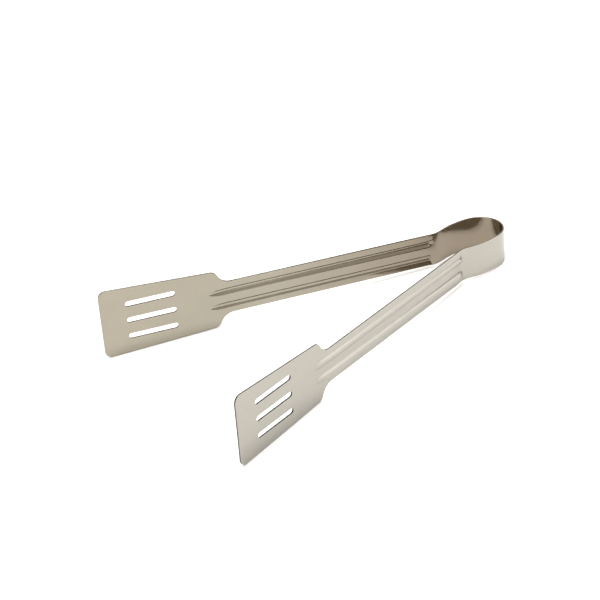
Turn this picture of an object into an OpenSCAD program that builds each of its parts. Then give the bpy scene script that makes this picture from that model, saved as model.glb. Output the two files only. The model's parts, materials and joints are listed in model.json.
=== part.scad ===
// Serving tongs, bent from one strip of stainless sheet: a round spring bow,
// two necks, two ribbed arms and two flat slotted blades.
// They stand on edge. +X runs from the bow to the blades, +Z is up, and the arms
// open along Y: left is +Y. The origin is the middle of the box's underside.
// All lengths are in millimetres and all angles in degrees.

/* [Strip] */
// Thickness of the sheet
sheet_t = 1; // [0.8:0.05:1.2]
// Width of the strip along the bow, the necks and the arms
strip_w = 21.2; // [19:0.1:23]

/* [Bow] */
// Radius of the bow's round crown, to the middle of the sheet
crown_r = 14.2; // [13:0.1:17]
// Half of the angle that the crown's radius is kept for
crown_half = 76.2; // [73:0.1:79]
// Half of the angle of the crown's own piece, up to where the bow flexes first
crown_flex = 52; // [45:1:60]
// Radius of each flank, to the middle of the sheet
flank_r = 46.2; // [40:0.1:52]
// Angle that each flank turns through
flank_turn = 29.8; // [27:0.1:32]
// Radius of each neck, to the middle of the sheet
neck_r = 11; // [8:0.1:16]

/* [Arms] */
// Angle of an open arm from the centre line
arm_angle = 16.3; // [14:0.1:18]
// Length of an arm from its neck to the tip of its blade
arm_len = 207.6; // [207.5:0.1:225]

/* [Ribs] */
// Half of the distance between the axes of an arm's two ribs
rib_offset = 4.7; // [4.4:0.1:5.4]
// Distance of the pair of ribs below the middle of the strip
rib_drop = 0.3; // [0:0.1:1.2]
// Height of the axis of a rib's groove over the arm's inner face
groove_axis = 1.4; // [1.2:0.05:1.6]
// Depth of the groove at its end near the bow
groove_deep = 1.3; // [1.2:0.05:1.4]
// Depth of the groove where its pointed end begins
groove_shallow = 1.15; // [0.9:0.05:1.2]
// Distance from the blade's tip to the point of a rib
rib_tip = 65; // [62:0.1:70]
// Length of a rib's pointed end
rib_point = 10; // [8:0.1:14]
// Distance from the blade's tip to the centre of a rib's round end
rib_end = 204.7; // [185:0.1:204.7]

/* [Blades] */
// Width of a blade across its tip, measured to where its edges would meet the tip
blade_w = 45.2; // [42:0.1:48]
// Angle of a blade's long edges to its centre line
blade_taper = 3.13; // [2.5:0.01:3.5]
// Length of a blade's straight edges, from the tip to the shoulder
blade_len = 67.6; // [60:0.1:75]
// Radius of the corners at the tip
tip_r = 4.6; // [3:0.1:8]
// Radius of the shoulder
shoulder_r = 5; // [4:0.1:6]
// Radius of the fillet between the shoulder and the arm
fillet_r = 9; // [8:0.1:10]

/* [Slots] */
// Number of slots in a blade
slot_count = 3; // [1:1:3]
// Width of a slot
slot_w = 3.4; // [3:0.1:3.8]
// Length of a slot, over its round ends
slot_len = 30.2; // [24:0.1:34]
// Distance between the slots' centre lines
slot_pitch = 10.8; // [9:0.1:12]
// Distance from the blade's tip to the slots
slot_start = 15.4; // [12:0.1:18]

/* [Hidden] */
$fn = 96;
// Number of cones in the rounded end of a rib
rib_steps = 6;
// Heights of an arm's two ribs over the middle of the strip
rib_rows = [-rib_drop - rib_offset, -rib_drop + rib_offset];

// The bow's path, as directions seen from the centre of each arc in turn.
crown_end = 180 - crown_half;
flank_end = crown_end - flank_turn;
neck_start = 180 + flank_end;
neck_end = 270 + arm_angle;

crown_centre = [crown_r, 0];
flank_centre = crown_centre - (flank_r - crown_r) * toward(crown_end);
neck_centre = flank_centre + (flank_r + neck_r) * toward(flank_end);
arm_start = neck_centre + neck_r * toward(neck_end);

// The blade's plan, with u back from its tip and v across from its middle.
half_tip = blade_w / 2;
tip_centre = [tip_r, half_tip - tip_r * (tan(blade_taper) + 1 / cos(blade_taper))];
shoulder_u = blade_len - shoulder_r * sin(blade_taper);
shoulder_centre = [shoulder_u,
                   half_tip - shoulder_u * tan(blade_taper) - shoulder_r / cos(blade_taper)];
fillet_v = strip_w / 2 + fillet_r;
fillet_rise = fillet_v - shoulder_centre[1];
fillet_centre = [shoulder_u + sqrt((shoulder_r + fillet_r) ^ 2 - fillet_rise ^ 2), fillet_v];
// Direction from the shoulder's centre to the fillet's centre
meet = asin(fillet_rise / (shoulder_r + fillet_r));
root_u = fillet_centre[0];

// The tongs tilt until the bow's edge and both blades' corners stand on one level.
tip_x = arm_start[0] + arm_len * cos(arm_angle);
corner_x = tip_x - tip_r * cos(arm_angle);
corner_reach = tip_centre[1] + tip_r - strip_w / 2;
tilt = atan(corner_reach / corner_x);
lift = strip_w / 2 * cos(tilt) + sheet_t / 2 * sin(tilt);
box_back = -sheet_t / 2 * cos(tilt) - strip_w / 2 * sin(tilt);
box_front = (tip_x + sheet_t / 2 * sin(arm_angle)) * cos(tilt) + tip_centre[1] * sin(tilt);
box_mid = (box_back + box_front) / 2;

function toward(a) = [cos(a), sin(a)];

// Points on an arc about centre c, from direction a0 to direction a1
function arc(c, r, a0, a1, steps = 12) =
    [for (i = [0:steps]) c + r * toward(a0 + (a1 - a0) * i / steps)];

// Stands the finished strip on edge, over the origin.
module on_edge() {
    translate([-box_mid, 0, lift]) rotate([0, -tilt, 0]) children();
}

// A stretch of strip bent about centre c, from direction a0 to direction a1
module bent_strip(c, r, a0, a1) {
    translate([c[0], c[1], 0]) rotate([0, 0, a0]) rotate_extrude(angle = a1 - a0)
        translate([r - sheet_t / 2, -strip_w / 2]) square([sheet_t, strip_w]);
}

// Sets children on the arm: X toward the tip from the end of the neck, Y outward.
module on_arm() {
    translate([arm_start[0], arm_start[1], 0]) rotate([0, 0, arm_angle]) children();
}

// A plan in u and v, given the sheet's thickness
module sheet() {
    translate([arm_len, sheet_t / 2, 0]) rotate([90, 0, 0]) mirror([1, 0, 0])
        linear_extrude(sheet_t) children();
}

// The round form that presses one rib, grown by extra. Its axis is level with the sheet.
// It has a rounded end near the bow, a slight taper and a long point at the blade.
module rib_form(extra) {
    blunt_r = groove_axis + groove_deep + extra;
    bend_r = groove_axis + groove_shallow + extra;
    point_r = groove_axis + extra;
    bend_x = rib_end - rib_tip - rib_point;
    point_x = rib_end - rib_tip;
    // The cone runs on past the point, clear of the sheet.
    past = 1.2;
    past_r = bend_r - past * (bend_r - point_r);
    past_x = bend_x + past * (point_x - bend_x);
    translate([arm_len - rib_end, -sheet_t / 2 - groove_axis, 0]) rotate([0, 90, 0])
        rotate_extrude() polygon(concat(
            [[0, -blunt_r]],
            [for (i = [1:rib_steps]) blunt_r * [sin(90 * i / rib_steps), -cos(90 * i / rib_steps)]],
            [[bend_r, bend_x], [past_r, past_x], [0, past_x]]));
}

// Both ribs of an arm between x0 and x1, as material outside or as grooves inside
module ribs(x0, x1) {
    for (v = rib_rows) intersection() {
        translate([0, 0, v]) rib_form(sheet_t);
        translate([x0, 0, v - rib_offset]) cube([x1 - x0, 2 * rib_offset, 2 * rib_offset]);
    }
}

module grooves() {
    for (v = rib_rows) translate([0, 0, v]) rib_form(0);
}

module slot() {
    half = slot_len / 2 - slot_w / 2;
    translate([slot_start + slot_len / 2, 0]) {
        square([2 * half, slot_w], center = true);
        for (end = [-half, half]) translate([end, 0]) circle(d = slot_w);
    }
}

// Half of the blade's outline, from the tip round the shoulder to the arm
half_outline = concat(
    arc(tip_centre, tip_r, 180, 90 - blade_taper),
    arc(shoulder_centre, shoulder_r, 90 - blade_taper, meet),
    arc(fillet_centre, fillet_r, 180 + meet, 270));

module blade_plan() {
    count = len(half_outline);
    mirrored = [for (i = [count - 1:-1:0]) [half_outline[i][0], -half_outline[i][1]]];
    difference() {
        polygon(concat(half_outline, mirrored));
        for (i = [0:slot_count - 1])
            translate([0, (i - (slot_count - 1) / 2) * slot_pitch]) slot();
    }
}

module crown_piece() {
    bent_strip(crown_centre, crown_r, 180 - crown_flex, 180 + crown_flex);
}

module shoulder_piece() {
    bent_strip(crown_centre, crown_r, crown_end, 180 - crown_flex);
}

module flank_piece() {
    bent_strip(flank_centre, flank_r, flank_end, crown_end);
}

module neck_piece() {
    bent_strip(neck_centre, neck_r, neck_start, neck_end);
}

module arm_piece() {
    on_arm() difference() {
        union() {
            translate([0, -sheet_t / 2, -strip_w / 2])
                cube([arm_len - root_u, sheet_t, strip_w]);
            ribs(0, arm_len - root_u);
        }
        grooves();
    }
}

module blade_piece() {
    on_arm() difference() {
        union() {
            sheet() blade_plan();
            ribs(arm_len - root_u, arm_len);
        }
        grooves();
    }
}

module bow_crown() {
    color("silver") on_edge() crown_piece();
}

module bow_shoulder_left() {
    color("silver") on_edge() shoulder_piece();
}

module bow_shoulder_right() {
    color("silver") on_edge() mirror([0, 1, 0]) shoulder_piece();
}

module bow_flank_left() {
    color("silver") on_edge() flank_piece();
}

module bow_flank_right() {
    color("silver") on_edge() mirror([0, 1, 0]) flank_piece();
}

module neck_left() {
    color("lightgray") on_edge() neck_piece();
}

module neck_right() {
    color("lightgray") on_edge() mirror([0, 1, 0]) neck_piece();
}

module arm_left() {
    color("silver") on_edge() arm_piece();
}

module arm_right() {
    color("silver") on_edge() mirror([0, 1, 0]) arm_piece();
}

module blade_left() {
    color("gainsboro") on_edge() blade_piece();
}

module blade_right() {
    color("gainsboro") on_edge() mirror([0, 1, 0]) blade_piece();
}

bow_crown();
bow_shoulder_left();
bow_shoulder_right();
bow_flank_left();
bow_flank_right();
neck_left();
neck_right();
arm_left();
arm_right();
blade_left();
blade_right();
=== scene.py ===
"""Serving tongs bent from one stainless strip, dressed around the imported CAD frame.

The sheet is described in its own flat coordinates: s runs along the strip from the middle
of the bow to the tip, v runs across it, and u runs back from the tip. All shapes are made
for the left half, and the right half is its mirror image. Each half is two pieces that
meet face to face, so that the bow can flex between the CAD's rigid bodies.
"""
import json
import math

import bmesh
import bpy
import numpy as np
from mathutils import Matrix, Vector
from mathutils.geometry import delaunay_2d_cdt

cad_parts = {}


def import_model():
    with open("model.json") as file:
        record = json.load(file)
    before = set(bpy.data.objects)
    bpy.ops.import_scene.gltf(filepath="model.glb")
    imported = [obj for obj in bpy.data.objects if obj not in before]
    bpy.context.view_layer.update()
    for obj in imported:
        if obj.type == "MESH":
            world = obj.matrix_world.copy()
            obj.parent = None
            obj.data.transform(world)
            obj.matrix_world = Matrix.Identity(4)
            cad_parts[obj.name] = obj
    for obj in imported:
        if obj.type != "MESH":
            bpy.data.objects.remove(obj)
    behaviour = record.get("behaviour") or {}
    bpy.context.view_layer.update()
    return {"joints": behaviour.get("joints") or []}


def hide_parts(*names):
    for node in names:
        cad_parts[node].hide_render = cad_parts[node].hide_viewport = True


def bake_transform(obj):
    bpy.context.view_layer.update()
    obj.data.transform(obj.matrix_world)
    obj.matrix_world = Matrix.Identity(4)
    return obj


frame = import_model()

# ---------------------------------------------------------------- sizes, in metres
MM = 0.001
SHEET_T = 1.0 * MM
STRIP_W = 21.2 * MM
EDGE_R = 0.24 * MM          # rounding of the strip's cut edges
SLOT_EDGE_R = 0.08 * MM     # rounding of the punched edges of the slots

CROWN_R, CROWN_TURN = 14.2 * MM, math.radians(76.2)
FLANK_R, FLANK_TURN = 46.2 * MM, math.radians(29.8)
NECK_R = 11.0 * MM
ARM_ANGLE = math.radians(16.3)
ARM_LEN = 207.6 * MM
NECK_TURN = CROWN_TURN + FLANK_TURN - math.pi / 2 + ARM_ANGLE
CROWN_FLEX = math.radians(52)   # where the CAD's first hinge sits on the crown
BEND_EASE = 3.2 * MM        # a bend's radius comes in over this length each way

RIB_MID, RIB_OFFSET = -0.3 * MM, 4.7 * MM   # the pair of ribs, over the strip's middle
RIB_HALF = 2.45 * MM        # half of a rib's width, between its feet
RIB_FOOT_R = 0.75 * MM      # radius of the rib's feet, to the middle of the sheet
RIB_DEEP, RIB_SHALLOW = 1.2 * MM, 1.05 * MM
RIB_TIP, RIB_POINT, RIB_END = 65.0 * MM, 10.0 * MM, 205.0 * MM   # back from the tip
POINT_POWER = 1.6           # how bluntly a rib's pointed end fills out

LAND_RISE, LAND_EDGE = 0.45 * MM, 0.05 * MM   # how far the outer lands stand out
LOWER_RISE = 0.75 * MM      # how much more the lower land stands out by the bow
LAND_OUT = STRIP_W / 2 - RIB_MID - RIB_OFFSET   # from a rib's axis to the land's edge
LAND_START, LAND_COMING = 3 * MM, 16 * MM     # beyond the ribs' tips, and over what length
LAND_PAST, LAND_GOING = 3 * MM, 1.8 * MM      # beyond the ribs' ends, and over what length
LAND_CORNER = 4             # power of the curve that rounds the lands' ends

BLADE_W, BLADE_TAPER, BLADE_LEN = 45.2 * MM, math.radians(3.13), 67.6 * MM
TIP_R, SHOULDER_R, FILLET_R = 4.6 * MM, 5.0 * MM, 9.0 * MM
SLOT_W, SLOT_LEN, SLOT_PITCH, SLOT_START = 3.4 * MM, 30.2 * MM, 10.8 * MM, 15.4 * MM

# Lengths along the strip from the middle of the bow
S_FLANK = CROWN_R * CROWN_TURN
S_NECK = S_FLANK + FLANK_R * FLANK_TURN
S_ARM = S_NECK + NECK_R * NECK_TURN
S_TIP = S_ARM + ARM_LEN
S_SEAM = S_FLANK + 0.4 * (S_NECK - S_FLANK)   # the two pieces of a half meet here


# ---------------------------------------------------------------- the strip's path
PATH_STEP = 0.05 * MM


def make_path():
    """Points and headings along the strip's middle, from its curvature, eased at each bend."""
    step = PATH_STEP
    s = np.arange(0, S_TIP + 5 * step, step)
    bends = [(0, -1 / CROWN_R), (S_FLANK, -1 / FLANK_R), (S_NECK, 1 / NECK_R), (S_ARM, 0.0)]
    curve = np.full_like(s, bends[0][1])
    for (_, before), (at, after) in zip(bends, bends[1:]):
        curve += (after - before) * np.clip((s - at + BEND_EASE) / (2 * BEND_EASE), 0, 1)
    turned = np.concatenate([[0], np.cumsum((curve[1:] + curve[:-1]) / 2 * step)])
    heading = math.pi / 2 + turned
    mid = (heading[1:] + heading[:-1]) / 2
    x = np.concatenate([[0], np.cumsum(np.cos(mid) * step)])
    y = np.concatenate([[0], np.cumsum(np.sin(mid) * step)])
    return s, x, y, heading


PATH_S, PATH_X, PATH_Y, PATH_H = make_path()


def strip_place():
    """The strip's place in the row frame, from the CAD's first hinge on the left."""
    joint = next(j for j in frame["joints"] if j["name"] == "flex_crown_left")
    x, _, z = joint["axis"]
    turn = Matrix.Rotation(-math.atan2(x, -z), 4, "Y")
    inner_r = CROWN_R - SHEET_T / 2
    on_strip = Vector((CROWN_R - inner_r * math.cos(CROWN_FLEX),
                       inner_r * math.sin(CROWN_FLEX), 0))
    return Matrix.Translation(Vector(joint["pos_m"]) - turn @ on_strip) @ turn


PLACE = strip_place()


# ---------------------------------------------------------------- the pressed relief
TINY = 0.001 * MM           # too small to see


def ease(x):
    x = np.clip(x, 0, 1)
    return x * x * (3 - 2 * x)


def long_way(u):
    """How far u is along the ribs' tapered part, from 0 at the blade to 1 at the bow."""
    return np.clip((u - RIB_TIP - RIB_POINT) / (RIB_END - RIB_TIP - RIB_POINT), 0, 1)


def rib_relief(u, across):
    """How far the ribs stand out: tapered, pointed at the blade and round at the bow."""
    point = 1 - (1 - np.clip((u - RIB_TIP) / RIB_POINT, 0, 1)) ** POINT_POWER
    depth = (RIB_SHALLOW + (RIB_DEEP - RIB_SHALLOW) * long_way(u)) * point
    # The full rib's radii set the section, and a shallow end is cut from the same round.
    full = np.maximum(depth, RIB_SHALLOW)
    reach = (RIB_HALF ** 2 + full ** 2) / (2 * full)
    crown_r = reach - RIB_FOOT_R
    away = np.hypot(across - RIB_OFFSET, np.maximum(u - RIB_END, 0))
    half = np.sqrt(np.maximum(2 * reach * depth - depth ** 2, TINY ** 2))
    crown = depth - crown_r + np.sqrt(np.maximum(crown_r ** 2 - away ** 2, 0))
    foot = RIB_FOOT_R - np.sqrt(
        np.maximum(RIB_FOOT_R ** 2 - np.maximum(half - away, 0) ** 2, 0))
    rib = np.where(away < crown_r * half / reach, crown, foot)
    return np.where((away < half) & (depth > 0.1 * TINY), rib, 0)


def land_relief(u, across, lower):
    """How far the tilted outer lands stand out, with rounded ends just short of the neck."""
    off_axis = across - RIB_OFFSET
    rise = LAND_RISE * np.clip((off_axis + RIB_HALF) / (2 * RIB_HALF), 0, 1)
    rise += LOWER_RISE * long_way(u) * lower * np.clip(off_axis / RIB_HALF, 0, 1)
    out = np.clip((off_axis - RIB_HALF) / (LAND_OUT - RIB_HALF), 0, 1)
    land = rise + (LAND_EDGE - rise) * out
    half_wide = (LAND_OUT + RIB_HALF) / 2
    off_middle = np.abs(off_axis + RIB_HALF - half_wide)
    ends = RIB_END + LAND_PAST * (1 - np.clip(off_middle / half_wide, 0, 1) ** LAND_CORNER)
    return (land * ease((u - RIB_TIP - LAND_START) / LAND_COMING)
            * ease((ends - u) / LAND_GOING))


def middle(s, v):
    """The sheet's middle surface as 3D points."""
    u = S_TIP - s
    across = np.abs(v - RIB_MID)
    rise = rib_relief(u, across) + land_relief(u, across, v < RIB_MID)
    heading = np.interp(s, PATH_S, PATH_H)
    x = np.interp(s, PATH_S, PATH_X) - np.sin(heading) * rise
    y = np.interp(s, PATH_S, PATH_Y) + np.cos(heading) * rise
    return np.stack([x, y, v], 1)


def surface(s, v):
    """Middle points, unit normals outward, and the path's unit tangents."""
    h = 0.02 * MM           # the slopes are taken over this much each way
    along = middle(s + h, v) - middle(s - h, v)
    across = middle(s, v + h) - middle(s, v - h)
    normal = np.cross(across, along)
    normal /= np.linalg.norm(normal, axis=1)[:, None]
    heading = np.interp(s, PATH_S, PATH_H)
    tangent = np.stack([np.cos(heading), np.sin(heading), np.zeros_like(s)], 1)
    return middle(s, v), normal, tangent


# ---------------------------------------------------------------- outlines
# An outline is rows of u, v and the direction that faces out of the material there.
EDGE_STEP = 1.5 * MM        # longest step on an outline's straight parts
FILLET_POINTS, SHOULDER_POINTS, CORNER_POINTS, SLOT_POINTS = 22, 16, 20, 19   # on each arc


def arc(centre, radius, start, end, count, outward=1):
    """An arc. outward is -1 where the material lies outside it."""
    angle = np.linspace(start, end, count)
    c, n = np.cos(angle), np.sin(angle)
    return np.stack([centre[0] + radius * c, centre[1] + radius * n,
                     outward * c, outward * n], 1)


def straight(start, end, normal):
    count = max(2, int(np.linalg.norm(np.subtract(end, start)) / EDGE_STEP) + 1)
    points = np.linspace(start, end, count)
    return np.hstack([points, np.tile(normal, (count, 1))])


def blade_half():
    """The upper edge from the arm round the shoulder to the middle of the tip."""
    half_tip = BLADE_W / 2
    lean = math.tan(BLADE_TAPER)
    tip_v = half_tip - TIP_R * (lean + 1 / math.cos(BLADE_TAPER))
    shoulder_u = BLADE_LEN - SHOULDER_R * math.sin(BLADE_TAPER)
    shoulder_v = half_tip - shoulder_u * lean - SHOULDER_R / math.cos(BLADE_TAPER)
    fillet_v = STRIP_W / 2 + FILLET_R
    reach = SHOULDER_R + FILLET_R
    meet = math.asin((fillet_v - shoulder_v) / reach)
    fillet_u = shoulder_u + reach * math.cos(meet)
    edge = math.pi / 2 - BLADE_TAPER
    fillet = arc((fillet_u, fillet_v), FILLET_R, -math.pi / 2, meet - math.pi,
                 FILLET_POINTS, -1)
    shoulder = arc((shoulder_u, shoulder_v), SHOULDER_R, meet, edge, SHOULDER_POINTS)
    corner = arc((TIP_R, tip_v), TIP_R, edge, math.pi, CORNER_POINTS)
    side = straight(shoulder[-1, :2], corner[0, :2], shoulder[-1, 2:])
    tip = straight(corner[-1, :2], (0, 0), (-1, 0))
    return np.vstack([fillet, shoulder[1:], side[1:], corner[1:], tip[1:]]), fillet_u


def slot_loop(v):
    """A slot's closed edge, whose outward side is the inside of the slot."""
    r, near = SLOT_W / 2, SLOT_START + SLOT_W / 2
    far = SLOT_START + SLOT_LEN - SLOT_W / 2
    a = arc((far, v), r, -math.pi / 2, math.pi / 2, SLOT_POINTS, -1)
    b = straight((far, v + r), (near, v + r), (0, -1))
    c = arc((near, v), r, math.pi / 2, 3 * math.pi / 2, SLOT_POINTS, -1)
    d = straight((near, v - r), (far, v - r), (0, 1))
    return np.vstack([a, b[1:], c[1:], d[1:-1]])


def along_strip(outline):
    """The same outline in s and v."""
    return np.column_stack([S_TIP - outline[:, 0], outline[:, 1], -outline[:, 2],
                            outline[:, 3]])


def edge_rows(s_values, v, toward):
    """One of the strip's straight edges, in s and v."""
    count = len(s_values)
    return np.column_stack([s_values, np.full(count, v), np.zeros(count),
                            np.full(count, toward)])


def in_polygon(points, polygon):
    """Which points lie in a polygon, by crossings."""
    x, y = points[:, 0], points[:, 1]
    result = np.zeros(len(points), bool)
    px, py = polygon[:, 0], polygon[:, 1]
    for i in range(len(polygon)):
        j = i - 1
        crosses = (py[i] > y) != (py[j] > y)
        with np.errstate(divide="ignore", invalid="ignore"):
            at = (px[j] - px[i]) * (y - py[i]) / (py[j] - py[i]) + px[i]
        result ^= crosses & (x < at)
    return result


# ---------------------------------------------------------------- the sheet's mesh
RIM_STEPS = 4               # faces round each edge rounding
CLEAR = 0.35 * MM           # a point inside the face stays this far from its edges
FACE_V = STRIP_W / 2 - EDGE_R   # where the face ends and the edge's rounding starts
PLAIN_V = np.linspace(FACE_V, -FACE_V, 7)[1:-1]   # rows of points where there is no rib


class Sheet:
    """Collects one piece of the sheet and builds its closed mesh."""

    def __init__(self, side):
        self.side = side            # 1 is the left half, -1 its mirror image
        self.co, self.no, self.flat = [], [], []
        self.edge, self.inside = [], []     # 1 on the cut edge, and 1 on the inner face
        self.faces = []
        self.caps = []              # the faces of the square cuts

    def add(self, co, no, s, v, edge, inside):
        first = sum(len(c) for c in self.co)
        self.co.append(co)
        self.no.append(no)
        self.flat.append(np.stack([s, v, np.zeros_like(s)], 1))
        self.edge.append(np.full(len(co), edge))
        self.inside.append(np.full(len(co), inside))
        return np.arange(first, first + len(co))

    def rim(self, rows, radius, outer, inner, closed):
        """Joins the outer face's edge to the inner face's, round both edge roundings."""
        s, v, ms, mv = rows.T
        point, normal, tangent = surface(s - ms * radius, v - mv * radius)
        out = ms[:, None] * tangent + mv[:, None] * np.array([0, 0, 1.0])
        half = SHEET_T / 2 - radius
        turns = np.linspace(0, math.pi / 2, RIM_STEPS + 1)
        stops = [(half, a) for a in turns[1:]] + [(-half, math.pi / 2 + a) for a in turns[:-1]]
        rings = [outer]
        for offset, a in stops:
            facing = math.cos(a) * normal + math.sin(a) * out
            co = point + normal * offset + radius * facing
            cut = math.sin(a) ** 3      # 0 on the face and 1 on the side wall
            rings.append(self.add(co, facing, s, v, cut, 0.0 if offset > 0 else 1.0))
        rings.append(inner)
        count = len(rows)
        for a, b in zip(rings, rings[1:]):
            for i in range(count if closed else count - 1):
                j = (i + 1) % count
                self.faces.append((a[i], a[j], b[j], b[i]))
        return rings

    def build(self, title):
        flip = np.array([1, self.side, 1])
        place = np.array(PLACE)
        turn = place[:3, :3].T
        co = (np.vstack(self.co) * flip) @ turn + place[:3, 3]
        no = (np.vstack(self.no) * flip) @ turn
        mesh = bpy.data.meshes.new(title)
        mesh.from_pydata(co.tolist(), [], [[int(i) for i in f] for f in self.faces + self.caps])
        bm = bmesh.new()
        bm.from_mesh(mesh)
        bmesh.ops.recalc_face_normals(bm, faces=bm.faces)
        bm.to_mesh(mesh)
        bm.free()
        mesh.polygons.foreach_set("use_smooth", [True] * len(mesh.polygons))
        cap_of = {i: k for k, cap in enumerate(self.caps) for i in cap}
        for e in mesh.edges:
            a, b = (cap_of.get(i) for i in e.vertices)
            e.use_edge_sharp = a is not None and a == b
        mesh.attributes.new("strip", "FLOAT_VECTOR", "POINT").data.foreach_set(
            "vector", np.vstack(self.flat).ravel())
        for kind, values in (("edge", self.edge), ("inside", self.inside)):
            mesh.attributes.new(kind, "FLOAT", "POINT").data.foreach_set(
                "value", np.concatenate(values))
        normals = []
        for p in mesh.polygons:
            is_cap = len(p.vertices) > 4
            normals += [tuple(p.normal if is_cap else no[i]) for i in p.vertices]
        mesh.normals_split_custom_set(normals)
        mesh.update()
        return add_object(title, mesh)


def add_object(title, data):
    obj = bpy.data.objects.new(title, data)
    bpy.context.scene.collection.objects.link(obj)
    return obj


def sheet_piece(title, side, chains, loops, cuts, grid):
    """A piece of the sheet. chains are its free edges and loops its slots' edges. cuts are
    where it is cut square: at the chains' two ends, and at where two chains meet."""
    sheet = Sheet(side)
    rims = chains + loops
    radii = [EDGE_R] * len(chains) + [SLOT_EDGE_R] * len(loops)
    inset = [np.column_stack([c[:, 0] - c[:, 2] * r, c[:, 1] - c[:, 3] * r])
             for c, r in zip(rims, radii)]
    points, edges, index = [], [], []
    for k, line in enumerate(inset):
        ids = np.arange(len(points), len(points) + len(line))
        points.extend(line)
        index.append(ids)
        edges += list(zip(ids[:-1], ids[1:]))
        if k >= len(chains):
            edges.append((ids[-1], ids[0]))
    ends = [(0, -1), (-1, 0)]       # a cut's place on the first chain and on the last
    seams = []
    for s_cut, (top, bottom) in zip(cuts, ends):
        ids = np.arange(len(points), len(points) + len(PLAIN_V))
        points.extend([(s_cut, v) for v in PLAIN_V])
        line = np.concatenate([[index[0][top]], ids, [index[len(chains) - 1][bottom]]])
        edges += list(zip(line[:-1], line[1:]))
        seams.append(line)

    def on_face(p):
        """Which points lie on the face, within its edges and outside its slots."""
        result = in_polygon(p, np.vstack(inset[:len(chains)]))
        for ring in inset[len(chains):]:
            result &= ~in_polygon(p, ring)
        return result

    grid = grid[on_face(grid)]
    every = np.vstack(inset)
    near = np.array([np.min(np.hypot(*(every - g).T)) for g in grid])
    points = np.vstack([points, grid[near > CLEAR]])
    result = delaunay_2d_cdt([Vector(p / MM) for p in points],
                             [tuple(map(int, e)) for e in edges], [], 0, 1e-5)
    if len(result[0]) != len(points):
        raise RuntimeError(f"{title}: the triangulation changed its points")
    tri = np.array(result[2])
    tri = tri[on_face(points[tri].mean(1))]
    s, v = points.T
    point, normal, _ = surface(s, v)
    outer = sheet.add(point + normal * SHEET_T / 2, normal, s, v, 0.0, 0.0)
    inner = sheet.add(point - normal * SHEET_T / 2, -normal, s, v, 0.0, 1.0)
    sheet.faces += [tuple(outer[t]) for t in tri] + [tuple(inner[t]) for t in tri]
    rings = [sheet.rim(rows, radii[k], outer[index[k]], inner[index[k]], k >= len(chains))
             for k, rows in enumerate(rims)]
    for line, (top, bottom) in zip(seams, ends):
        cap = list(outer[line])
        cap += [ring[bottom] for ring in rings[len(chains) - 1][1:-1]]
        cap += list(inner[line][::-1])
        cap += [ring[top] for ring in rings[0][1:-1][::-1]]
        sheet.caps.append(cap)
    return sheet.build(title)


# ---------------------------------------------------------------- the two pieces of a half
# Rows of points across the ribs, from the middle between them
RIB_COLUMNS = np.concatenate([RIB_OFFSET + np.linspace(-2.6, 2.6, 25) * MM,
                              [1.1 * MM, 8.1 * MM]])
RIBBED_V = RIB_MID + np.concatenate([RIB_COLUMNS, -RIB_COLUMNS, [0.0, 9.3 * MM, -9.2 * MM]])
ROOT_V = np.array([-18.2, -15.6, -12.8, -10.4, 10.4, 12.8, 15.6, 18.2]) * MM
BLADE_V = np.arange(-20, 20.1, 2.5) * MM

# Steps along the strip
BEND_STEP = 0.55 * MM       # on the bow and the neck
ROUND_STEP = 0.3 * MM       # at the ribs' round ends
RIB_STEP = 1.6 * MM         # along the ribs
POINT_STEP = 0.5 * MM       # at the ribs' pointed ends
BLADE_STEP = 2.5 * MM       # on the flat of the blade
S_ROUND = (S_ARM + 0.4 * MM, S_ARM + 8 * MM)   # the stretch with the ribs' round ends


def spaced(start, end, step):
    return np.linspace(start, end, max(2, int(round((end - start) / step)) + 1))


def lattice(s_values, v_values):
    a, b = np.meshgrid(s_values, v_values, indexing="ij")
    return np.column_stack([a.ravel(), b.ravel()])


def bow_piece(side, title):
    s = spaced(0, S_SEAM, BEND_STEP)
    chains = [edge_rows(s, STRIP_W / 2, 1), edge_rows(s[::-1], -STRIP_W / 2, -1)]
    return sheet_piece(title, side, chains, [], [0.0, S_SEAM], lattice(s[1:-1], PLAIN_V))


def arm_piece(side, title):
    half, root_u = blade_half()
    s_root, s_rib_tip = S_TIP - root_u, S_TIP - RIB_TIP
    # Points along the strip, stretch by stretch from the bow to the tip
    bends = spaced(S_SEAM, S_ROUND[0], BEND_STEP)
    rib_round = spaced(*S_ROUND, ROUND_STEP)
    rib_long = spaced(S_ROUND[1], s_root, RIB_STEP)
    rib_point = spaced(s_root, s_rib_tip + 1.5 * MM, POINT_STEP)
    flat = spaced(s_rib_tip + 3.5 * MM, S_TIP - 1.5 * MM, BLADE_STEP)
    run = np.concatenate([bends, rib_round[1:], rib_long[1:]])
    upper = np.vstack([edge_rows(run[:-1], STRIP_W / 2, 1), along_strip(half)])
    lower = upper[:-1][::-1] * [1, -1, 1, -1]
    loops = [along_strip(slot_loop(v)) for v in (-SLOT_PITCH, 0, SLOT_PITCH)]
    grid = np.vstack([
        lattice(bends[1:], PLAIN_V),
        lattice(np.concatenate([rib_round[1:], rib_long[1:-1], rib_point]), RIBBED_V),
        lattice(rib_point[::4], ROOT_V),
        lattice(flat, BLADE_V)])
    return sheet_piece(title, side, [np.vstack([upper, lower])], loops, [S_SEAM], grid)


# ---------------------------------------------------------------- materials
OUTER_TINT = (0.360, 0.344, 0.307, 1)
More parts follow.
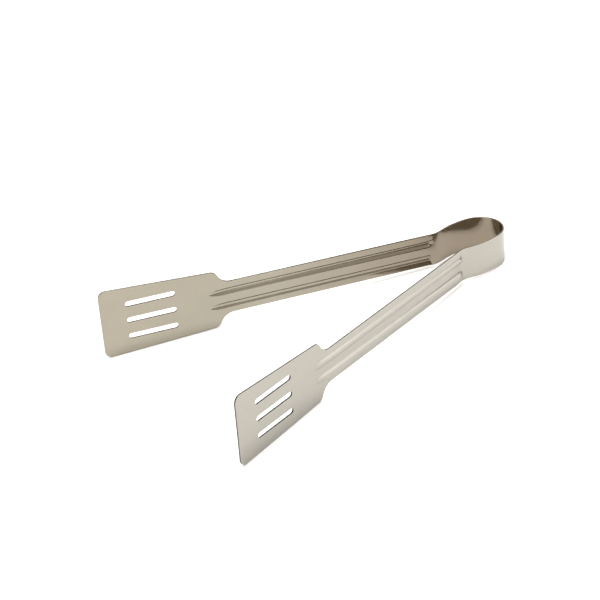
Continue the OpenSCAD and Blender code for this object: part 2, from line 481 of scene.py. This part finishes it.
# painted shade: the inner tint is darker and warmer than the outer, standing in for the shaded
# floor between the arms that the inner face reflects
INNER_SHADED_TINT = (0.313, 0.289, 0.234, 1)
BOW_PAINTED_SHADE = (0.244, 0.205, 0.156, 1)     # painted shade: the inner face darkened and browned towards the hollow of the bow
BOW_PAINTED_SHADE_S = (0.03, 0.15)   # that painted shade fades out between these lengths along the strip
OUTER_ROUGH, INNER_ROUGH = 0.30, 0.13
EDGE_GLOSS = 0.12           # how much smoother the cut edges are
CUT_TONE_AND_SHADE = 0.92             # how much darker they are: partly their own duller sheared finish, mostly painted shade for the dark they reflect
BOW_CUT_DARK_SHARE = 0.4               # share of that darkening on the bow, where the edges are painted less dark
BOW_CUT_DARK_SHARE_S = (0.035, 0.075)  # the share grows to 1 between these lengths

GRAIN = dict(scale=220, detail=3, stretch=(1, 28, 1), rough=0.6)   # lines along the strip
MOTTLE = dict(scale=900, detail=3)      # a fine matt speckle
CLOUD = dict(scale=55, detail=2)        # broad uneven polish
WAVE = dict(scale=38, detail=1)         # the sheet isn't quite flat
PIT_SCALE, PIT_EDGE = 75, (0.012, 0.03)     # pits fade out over these distances

# What each of them does to the brightness, the roughness and the height in millimetres
TONE_GRAIN, TONE_MOTTLE, TONE_CLOUD, TONE_PIT = 0.018, 0.022, 0.02, -0.35
ROUGH_CLOUD, ROUGH_GRAIN = 0.03, 0.03
HIGH_GRAIN, HIGH_MOTTLE, HIGH_WAVE, HIGH_PIT = 0.0012, 0.0025, 0.06, -0.02


def feed(links, socket, value):
    """Links a socket to another one, or sets it to a plain value."""
    if isinstance(value, bpy.types.NodeSocket):
        links.new(value, socket)
    else:
        socket.default_value = value


def steel(title):
    """Stainless sheet, satin outside and smoother inside, with painted shade: a darker, warmer
    inner face that browns towards the bow, and cut edges darkened (partly their own duller
    finish, mostly painted shade), less on the bow.
    """
    mat = bpy.data.materials.new(title)
    mat.use_nodes = True
    nodes, links = mat.node_tree.nodes, mat.node_tree.links
    shader = nodes["Principled BSDF"]
    shader.inputs["Metallic"].default_value = 1.0

    def attribute(kind, output):
        node = nodes.new("ShaderNodeAttribute")
        node.attribute_name = kind
        return node.outputs[output]

    def noise(scale, detail, stretch=(1, 1, 1), rough=0.5):
        mapping = nodes.new("ShaderNodeMapping")
        mapping.inputs["Scale"].default_value = stretch
        tex = nodes.new("ShaderNodeTexNoise")
        tex.inputs["Scale"].default_value = scale
        tex.inputs["Detail"].default_value = detail
        tex.inputs["Roughness"].default_value = rough
        links.new(strip, mapping.inputs["Vector"])
        links.new(mapping.outputs["Vector"], tex.inputs["Vector"])
        return tex.outputs["Fac"]

    def remap(value, low, high, start, end):
        """Goes from low to high, and no further, as the value goes from start to end."""
        node = nodes.new("ShaderNodeMapRange")
        for socket, number in (("From Min", start), ("From Max", end), ("To Min", low),
                               ("To Max", high)):
            node.inputs[socket].default_value = number
        links.new(value, node.inputs["Value"])
        return node.outputs["Result"]

    def spread(value, about, by):
        """A noise's usual range, spread by so much either way."""
        return remap(value, about - by, about + by, 0.3, 0.7)

    def combine(kind, *values):
        """Folds a math operation over sockets and numbers."""
        total = values[0]
        for value in values[1:]:
            node = nodes.new("ShaderNodeMath")
            node.operation = kind
            feed(links, node.inputs[0], total)
            feed(links, node.inputs[1], value)
            total = node.outputs[0]
        return total

    def mix(amount, first, second):
        """A colour between two."""
        node = nodes.new("ShaderNodeMix")
        node.data_type = "RGBA"
        links.new(amount, node.inputs["Factor"])
        feed(links, node.inputs["A"], first)
        feed(links, node.inputs["B"], second)
        return node.outputs["Result"]

    strip = attribute("strip", "Vector")
    edge = attribute("edge", "Fac")
    inside = attribute("inside", "Fac")
    grain, mottle, cloud, wave = (noise(**kind) for kind in (GRAIN, MOTTLE, CLOUD, WAVE))
    pits = nodes.new("ShaderNodeTexVoronoi")
    pits.inputs["Scale"].default_value = PIT_SCALE
    links.new(strip, pits.inputs["Vector"])
    pit = remap(pits.outputs["Distance"], 1.0, 0.0, *PIT_EDGE)
    split = nodes.new("ShaderNodeSeparateXYZ")
    links.new(strip, split.inputs[0])
    along = split.outputs["X"]

    # painted shade: the inner face's tint turns darker and browner towards the bow
    inner = mix(remap(along, 1.0, 0.0, *BOW_PAINTED_SHADE_S), INNER_SHADED_TINT, BOW_PAINTED_SHADE)
    # painted shade on the cut edges, partly their own duller finish, weaker on the bow
    cut = combine("MULTIPLY", edge, CUT_TONE_AND_SHADE, remap(along, BOW_CUT_DARK_SHARE, 1.0, *BOW_CUT_DARK_SHARE_S))
    tone = combine("ADD", 1.0, spread(grain, 0, TONE_GRAIN), spread(mottle, 0, TONE_MOTTLE),
                   spread(cloud, 0, TONE_CLOUD), combine("MULTIPLY", pit, TONE_PIT))
    tone = combine("MULTIPLY", tone, combine("SUBTRACT", 1.0, cut))
    tint = nodes.new("ShaderNodeVectorMath")
    tint.operation = "SCALE"
    links.new(mix(inside, OUTER_TINT, inner), tint.inputs[0])
    links.new(tone, tint.inputs["Scale"])
    links.new(tint.outputs["Vector"], shader.inputs["Base Color"])

    rough = combine("ADD", spread(cloud, OUTER_ROUGH, ROUGH_CLOUD),
                    spread(grain, 0, ROUGH_GRAIN), combine("MULTIPLY", edge, -EDGE_GLOSS),
                    combine("MULTIPLY", inside, INNER_ROUGH - OUTER_ROUGH))
    links.new(rough, shader.inputs["Roughness"])

    height = combine("ADD", *(combine("MULTIPLY", value, high) for value, high in (
        (grain, HIGH_GRAIN), (mottle, HIGH_MOTTLE), (wave, HIGH_WAVE), (pit, HIGH_PIT))))
    bump = nodes.new("ShaderNodeBump")
    bump.inputs["Strength"].default_value = 1.0
    bump.inputs["Distance"].default_value = 1.0 * MM
    links.new(height, bump.inputs["Height"])
    links.new(bump.outputs["Normal"], shader.inputs["Normal"])
    return mat


# ---------------------------------------------------------------- the tongs
stainless = steel("stainless_satin")
NODES_OF = {"bow": ["bow_shoulder_{0}"],
            "arm": ["bow_flank_{0}", "neck_{0}", "arm_{0}", "blade_{0}"]}
for side, word in ((1, "left"), (-1, "right")):
    bow = bow_piece(side, f"bow_sheet_{word}")
    arm = arm_piece(side, f"arm_sheet_{word}")
    for piece, kind in ((bow, "bow"), (arm, "arm")):
        piece.data.materials.append(stainless)
        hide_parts(*[n.format(word) for n in NODES_OF[kind]])
    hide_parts("bow_crown")
    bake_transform(bow)
    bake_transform(arm)

# ---------------------------------------------------------------- floor, light, camera
FLOOR_HALF = 6.0            # half of the floor's side
FLOOR_COLOUR, FLOOR_ROUGH = (0.9, 0.9, 0.9, 1), 0.9

# Lights: azimuth, elevation, distance, size both ways, and power in watts
LIGHTS = {"top": (0, 90, 1.5, (0.9, 0.9), 30.5), "side": (142, 20, 0.8, (0.48, 0.55), 2.0)}

ROOM_DIM, ROOM_COLOUR = 0.10, (1.0, 0.94, 0.87, 1)
# The room's bright areas: azimuth, elevation, inner and outer angle, and strength
ROOM = ((80, 40, 25, 60, 0.7), (78, 8, 8, 14, 1.7), (-40, 30, 30, 55, 1.0),
        (238, 32, 12, 26, 1.5))

# The photograph's view, in degrees and metres, and the lens and sensor in millimetres
VIEW_AZIMUTH, VIEW_ELEVATION, VIEW_ROLL = 58.6, 32.16, -7.39
VIEW_DISTANCE, VIEW_AIM = 1.0971, Vector((0.01933, -0.01287, 0.02146))
LENS, SENSOR = 112.99, 36.0


def direction(azimuth, elevation):
    """The unit vector that points in a direction given in degrees."""
    a, e = math.radians(azimuth), math.radians(elevation)
    return Vector((math.cos(e) * math.cos(a), math.cos(e) * math.sin(a), math.sin(e)))


def floor():
    """A plain pale floor under the tongs."""
    h = FLOOR_HALF
    mesh = bpy.data.meshes.new("floor")
    mesh.from_pydata([(-h, -h, 0), (h, -h, 0), (h, h, 0), (-h, h, 0)], [], [(0, 1, 2, 3)])
    obj = add_object("floor", mesh)
    mat = bpy.data.materials.new("floor_pale")
    mat.use_nodes = True
    shader = mat.node_tree.nodes["Principled BSDF"]
    shader.inputs["Base Color"].default_value = FLOOR_COLOUR
    shader.inputs["Roughness"].default_value = FLOOR_ROUGH
    mesh.materials.append(mat)


def softbox(title, azimuth, elevation, distance, size, power):
    """A soft area light aimed at the tongs."""
    light = bpy.data.lights.new(title, "AREA")
    light.shape = "RECTANGLE"
    light.size, light.size_y = size
    light.energy = power
    obj = add_object(title, light)
    way = direction(azimuth, elevation)
    obj.location = way * distance
    obj.rotation_euler = (-way).to_track_quat("-Z", "Y").to_euler()


def world():
    """A dim room with a few broad bright areas."""
    studio = bpy.data.worlds.new("studio")
    bpy.context.scene.world = studio
    studio.use_nodes = True
    nodes, links = studio.node_tree.nodes, studio.node_tree.links
    place = nodes.new("ShaderNodeTexCoord")
    total = ROOM_DIM
    for azimuth, elevation, inner, outer, strength in ROOM:
        toward = nodes.new("ShaderNodeVectorMath")
        toward.operation = "DOT_PRODUCT"
        toward.inputs[1].default_value = direction(azimuth, elevation)
        links.new(place.outputs["Generated"], toward.inputs[0])
        area = nodes.new("ShaderNodeMapRange")
        area.interpolation_type = "SMOOTHSTEP"
        area.inputs["From Min"].default_value = math.cos(math.radians(outer))
        area.inputs["From Max"].default_value = math.cos(math.radians(inner))
        area.inputs["To Max"].default_value = strength
        links.new(toward.outputs["Value"], area.inputs["Value"])
        add = nodes.new("ShaderNodeMath")
        feed(links, add.inputs[0], total)
        links.new(area.outputs["Result"], add.inputs[1])
        total = add.outputs[0]
    back = nodes["Background"]
    back.inputs["Color"].default_value = ROOM_COLOUR
    links.new(total, back.inputs["Strength"])


def camera():
    """The photograph's viewing angle on the tongs."""
    data = bpy.data.cameras.new("camera")
    data.lens = LENS
    data.sensor_width = SENSOR
    data.clip_start, data.clip_end = 0.05, 50
    obj = add_object("camera", data)
    way = direction(VIEW_AZIMUTH, VIEW_ELEVATION)
    level = (-way).to_track_quat("-Z", "Y").to_matrix().to_4x4()
    roll = Matrix.Rotation(math.radians(VIEW_ROLL), 4, "Z")
    obj.matrix_world = Matrix.Translation(VIEW_AIM + way * VIEW_DISTANCE) @ level @ roll
    bpy.context.scene.camera = obj


floor()
world()
for title, values in LIGHTS.items():
    softbox(title, *values)
camera()
bpy.context.scene.view_settings.view_transform = "Standard"
